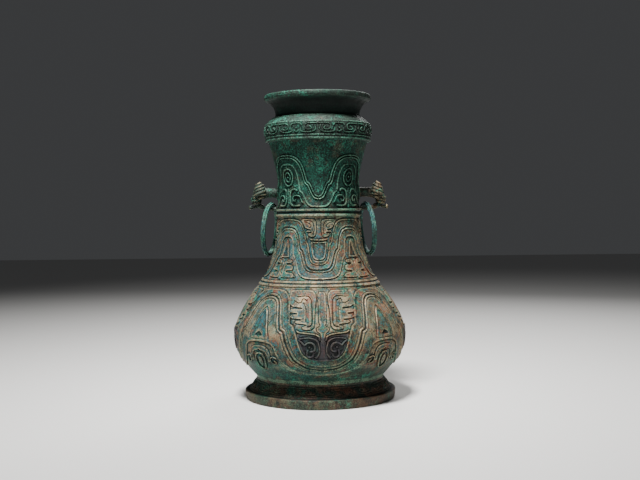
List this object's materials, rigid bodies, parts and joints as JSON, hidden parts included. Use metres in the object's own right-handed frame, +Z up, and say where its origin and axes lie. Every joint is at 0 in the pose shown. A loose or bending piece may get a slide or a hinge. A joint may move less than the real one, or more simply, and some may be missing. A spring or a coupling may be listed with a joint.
{
  "type": "wine vessel",
  "caption": "Tall cast bronze hu wine vessel with wave-band carving, ring foot, lifting lid with an open ring knob, and beast-head lugs with loose ring handles.",
  "frame": {"origin": "centre of the foot's rim on the table the vessel stands on", "axes": "+Z up along the vessel's axis, -Y to the front face in the picture, the lugs and rings on -X (left) and +X (right)"},
  "size_m": [0.344, 0.344, 0.6003],
  "materials": {
    "vessel": "matt green and brown bronze patina",
    "lid": "matt green bronze patina, worn golden on the knob's rim",
    "ring_left": "pale green rubbed bronze patina",
    "ring_right": "pale green rubbed bronze patina"
  },
  "bodies": {
    "vessel": {"vessel": "vessel", "lid": "lid"},
    "ring_left": {"ring_left": "ring_left"},
    "ring_right": {"ring_right": "ring_right"}
  },
  "joints": [
    {"name": "ring_left_swing", "type": "hinge", "parent": "vessel", "child": "ring_left", "pos_m": [-0.09349, 0, 0.38435], "axis": [0.225, 0.9744, 0], "range_deg": [0, 90]},
    {"name": "ring_right_swing", "type": "hinge", "parent": "vessel", "child": "ring_right", "pos_m": [0.09349, 0, 0.38435], "axis": [0.225, -0.9744, 0], "range_deg": [0, 90]}
  ]
}
